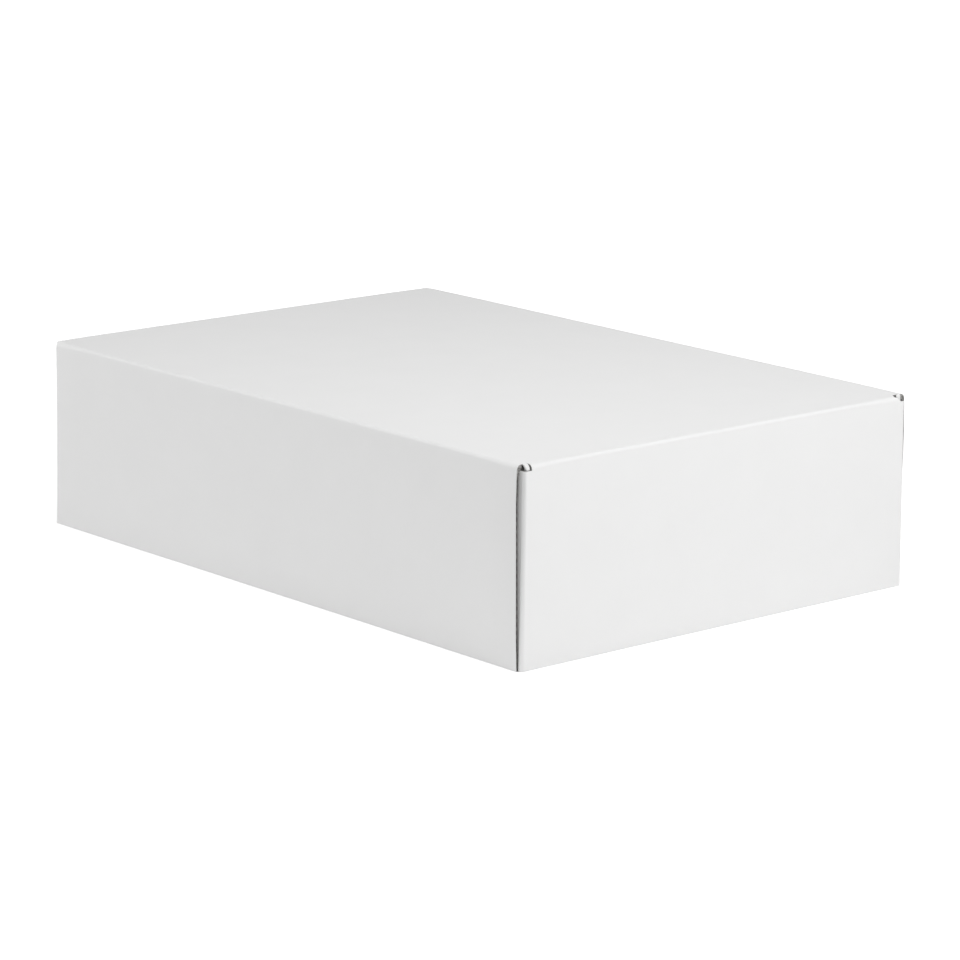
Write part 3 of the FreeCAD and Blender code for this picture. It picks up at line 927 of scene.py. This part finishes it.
def bleached_liner(name, colour, roughness, flutes, rib_height, speck_share):
    """White paper facing: faint mottling, faint ribs, and a few stray specks."""
    made, tree, shader = new_material(name, roughness, specular=0.3)
    mottle = placed(tree, MOTTLE, {"Clouds per metre": 45.0, "Fibres per metre": 1100.0,
                                   "Depth": 0.045, "Colour": (*colour, 1)})
    specks = placed(tree, SPECKS, {"Cells per metre": 55.0, "Share": speck_share, "Size": 0.022})
    ribs = placed(tree, RIBS, {"Across": flutes})
    speckled = node(tree, "ShaderNodeMix", {"data_type": "RGBA"},
                    {0: specks["Mask"], 6: mottle["Colour"], 7: SPECK_COLOUR})
    rib_bump = node(tree, "ShaderNodeBump", {},
                    {"Strength": 1.0, "Distance": rib_height, "Height": ribs["Height"]})
    fibre_bump = node(tree, "ShaderNodeBump", {},
                      {"Strength": 0.25, "Distance": LINER_FIBRE_HEIGHT, "Height": mottle["Height"],
                       "Normal": rib_bump["Normal"]})
    fill(tree, shader, {"Base Color": speckled[2], "Normal": fibre_bump["Normal"]})
    return made


def raw_fibre(name, colour):
    """Unbleached cut edge and medium: greyer, rougher and more fibrous than the facing."""
    made, tree, shader = new_material(name, roughness=0.9, specular=0.15)
    mottle = placed(tree, MOTTLE, {"Clouds per metre": 700.0, "Fibres per metre": 5200.0,
                                   "Depth": 0.5, "Colour": (*colour, 1)})
    bump = node(tree, "ShaderNodeBump", {},
                {"Strength": 0.5, "Distance": RAW_FIBRE_HEIGHT, "Height": mottle["Height"]})
    fill(tree, shader, {"Base Color": mottle["Colour"], "Normal": bump["Normal"]})
    return made


LID_LINER = bleached_liner("lid_white_liner", (0.84, 0.84, 0.838), roughness=0.62,
                           flutes=FLUTES_ALONG_BOX, rib_height=0.0000025, speck_share=0.02)
TRAY_LINER = bleached_liner("tray_white_liner", (0.82, 0.82, 0.817), roughness=0.66,
                            flutes=FLUTES_ALONG_BOX, rib_height=0.0000035, speck_share=0.02)
INSERT_LINER = bleached_liner("insert_white_liner", (0.80, 0.80, 0.79), roughness=0.70,
                              flutes=FLUTES_UPRIGHT, rib_height=0.0000045, speck_share=0.03)
CUT_EDGE = raw_fibre("raw_cut_edge", (0.40, 0.395, 0.385))
MEDIUM_PAPER = raw_fibre("fluted_medium", (0.26, 0.255, 0.245))


# The seven pieces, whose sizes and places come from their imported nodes


def box_of(name):
    """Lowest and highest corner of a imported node, in millimetres to four places."""
    return [[round(c / MM, 4) for c in corner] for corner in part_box(name)]


def size_of(name):
    """Length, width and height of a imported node."""
    return [high - low for low, high in zip(*box_of(name))]


lid_blank = Blank(size_of("lid"),
                  openness={(1, -1): 1.0, (1, 1): 0.8, (-1, -1): 0.0, (-1, 1): 0.0},
                  tears={(1, 1): 3.6}, softness={(1, 1): 2.5}, bead=(0.6, 2.4), upside_down=False)
tray_blank = Blank(size_of("base_tray"),
                   openness={(1, -1): 0.3, (1, 1): 0.2, (-1, -1): 0.4, (-1, 1): 0.2},
                   tears={}, softness={}, bead=(0.0, 1.0), upside_down=True)
folded_sheet(lid_blank).make("lid_board", "lid", "lid", "lid_board",
                             [LID_LINER, CUT_EDGE, MEDIUM_PAPER])
folded_sheet(tray_blank).make("base_tray_board", "tray", "base_tray", "tray_board",
                              [TRAY_LINER, CUT_EDGE, MEDIUM_PAPER])

# Three bays share the inside width of the tray
BAY_PITCH = (size_of("base_tray")[1] - 2 * BOARD) / 3
INSERT_FINISHES = [INSERT_LINER, CUT_EDGE, MEDIUM_PAPER]
CROSS_PIECES = (("foot_cradle", BOTTLE_SEAT), ("shoulder_cradle", BOTTLE_SEAT),
                ("neck_holder", NECK_NOTCH))


def half_lap(name):
    """Height at which a cross piece's slots meet those of the dividers."""
    (_, _, bottom), (_, _, top) = box_of(name)
    return (bottom + top) / 2


def place_along(name):
    """Where a cross piece stands along the box."""
    (low, _, _), (high, _, _) = box_of(name)
    return (low + high) / 2


def add_divider(name, side):
    """One long divider, with a slot from below over each cross piece."""
    (left, _, bottom), (right, _, top) = box_of(name)
    slots = [slot_cut(place_along(cross), bottom, half_lap(cross) + SLOT_PLAY)
             for cross, _ in CROSS_PIECES]
    outline = plate_outline(right - left, bottom, top, slots_below=slots)
    plate = flat_plate(outline, along_box(side * BAY_PITCH / 2))
    plate.make(name + "_board", "tray", name, "insert_board", INSERT_FINISHES)


def add_cross_piece(name, seating):
    """One cross piece: seats for three bottles in its upper edge, and two slots between them."""
    (_, left, bottom), (_, right, top) = box_of(name)
    cuts = [seat(bay * BAY_PITCH, top, **seating) for bay in (-1, 0, 1)]
    for side in (-1, 1):
        cuts.append(slot_cut(side * BAY_PITCH / 2, top, half_lap(name) - SLOT_PLAY))
    outline = plate_outline(right - left, bottom, top, cuts_above=cuts)
    plate = flat_plate(outline, across_box(place_along(name)))
    plate.make(name + "_board", "tray", name, "insert_board", INSERT_FINISHES)


add_divider("divider_near", -1)
add_divider("divider_far", 1)
for name, seating in CROSS_PIECES:
    add_cross_piece(name, seating)


# Stage: floor, world, lamps and camera, in metres

FLOOR_HALF = 12.0
FLOOR_DROP = 0.0001
FLOOR_COLOUR = (0.85, 0.85, 0.85, 1)
FLOOR_GLOW = {"From Min": 0.25, "From Max": 0.80, "To Min": 0.5, "To Max": 1.0}
WORLD_LIGHT = 0.28
WHITE = (1, 1, 1, 1)
BOX_MIDDLE = Vector((0.0, 0.0, 0.05))


def seen_plainly(tree):
    """1 for rays from the camera and for those that come by gloss or through glass, else 0."""
    ray = node(tree, "ShaderNodeLightPath", {}, {})
    either = sum_of(tree, "MAXIMUM", ray["Is Camera Ray"], ray["Is Glossy Ray"])
    return sum_of(tree, "MAXIMUM", either, ray["Is Transmission Ray"])


def pale_floor():
    """Floor that looks plain white away from the object and keeps the object's soft shadow."""
    made, tree, shader = new_material("pale_floor", roughness=0.95, specular=0.0)
    shader.inputs["Base Color"].default_value = FLOOR_COLOUR
    where = node(tree, "ShaderNodeNewGeometry", {}, {})["Position"]
    distance = node(tree, "ShaderNodeVectorMath", {"operation": "LENGTH"}, {0: where})["Value"]
    away = node(tree, "ShaderNodeMapRange", {"interpolation_type": "SMOOTHSTEP"},
                {"Value": distance, **FLOOR_GLOW})["Result"]
    strength = sum_of(tree, "MULTIPLY", seen_plainly(tree), away)
    glow = node(tree, "ShaderNodeEmission", {}, {"Strength": strength})["Emission"]
    both = node(tree, "ShaderNodeAddShader", {}, {0: shader.outputs["BSDF"], 1: glow})[0]
    fill(tree, tree.nodes["Material Output"], {"Surface": both})
    return made


def plain_world():
    """World that is plain white where it is seen, and lights the object gently."""
    world = bpy.data.worlds.new("studio")
    world.use_nodes = True
    sky = world.node_tree
    sky.nodes.clear()
    soft, plain = (
        node(sky, "ShaderNodeBackground", {}, {"Color": WHITE, "Strength": strength})[0]
        for strength in (WORLD_LIGHT, 1.0))
    choice = node(sky, "ShaderNodeMixShader", {}, {0: seen_plainly(sky), 1: soft, 2: plain})[0]
    node(sky, "ShaderNodeOutputWorld", {}, {"Surface": choice})
    return world


def toward(azimuth, elevation, distance):
    """Place seen from the box in a direction: azimuth from +X towards +Y, and height above level."""
    turn, rise = math.radians(azimuth), math.radians(elevation)
    way = Vector((math.cos(rise) * math.cos(turn), math.cos(rise) * math.sin(turn), math.sin(rise)))
    return BOX_MIDDLE + distance * way


def soft_lamp(name, place, size, power):
    """Square softbox that points at the middle of the box."""
    lamp = bpy.data.lights.new(name, "AREA")
    lamp.shape = "RECTANGLE"
    lamp.size = lamp.size_y = size
    lamp.energy = power
    holder = bpy.data.objects.new(name, lamp)
    holder.location = place
    holder.rotation_euler = (BOX_MIDDLE - place).to_track_quat("-Z", "Y").to_euler()
    bpy.context.scene.collection.objects.link(holder)


def aimed_camera(place, yaw, pitch, roll, focal_length):
    """Camera at a place: yaw from +X towards +Y, pitch below level, and roll, all in degrees."""
    yaw, pitch, roll = (math.radians(angle) for angle in (yaw, pitch, roll))
    ahead = Vector((math.cos(yaw) * math.cos(pitch), math.sin(yaw) * math.cos(pitch), -math.sin(pitch)))
    right = Vector((math.sin(yaw), -math.cos(yaw), 0))
    up = right.cross(ahead)
    axis_x = math.cos(roll) * right + math.sin(roll) * up
    axis_y = -math.sin(roll) * right + math.cos(roll) * up
    lens = bpy.data.cameras.new("camera")
    lens.sensor_width = 36.0
    lens.lens = focal_length
    lens.clip_start = 0.05
    lens.clip_end = 100.0
    camera = bpy.data.objects.new("camera", lens)
    turned = Matrix((axis_x, axis_y, -ahead)).transposed()
    camera.matrix_world = Matrix.Translation(place) @ turned.to_4x4()
    bpy.context.scene.collection.objects.link(camera)
    return camera


floor_mesh = bpy.data.meshes.new("floor")
floor_corners = [(FLOOR_HALF * x, FLOOR_HALF * y, -FLOOR_DROP)
                 for x, y in ((-1, -1), (1, -1), (1, 1), (-1, 1))]
floor_mesh.from_pydata(floor_corners, [], [(0, 1, 2, 3)])
floor_mesh.materials.append(pale_floor())
floor = bpy.data.objects.new("floor", floor_mesh)
bpy.context.scene.collection.objects.link(floor)

bpy.context.scene.world = plain_world()
soft_lamp("low_raking_softbox", toward(-145, 12, 4.0), size=1.6, power=83.5)
soft_lamp("end_softbox", toward(12, 28, 1.4), size=0.98, power=9.8)
soft_lamp("overhead_softbox", toward(-40, 75, 0.8), size=0.56, power=2.15)
bpy.context.scene.camera = aimed_camera(
    place=(1.4704, -1.2766, 0.4944), yaw=138.868, pitch=13.205, roll=0.679, focal_length=150.53)
bpy.context.scene.view_settings.view_transform = "Standard"
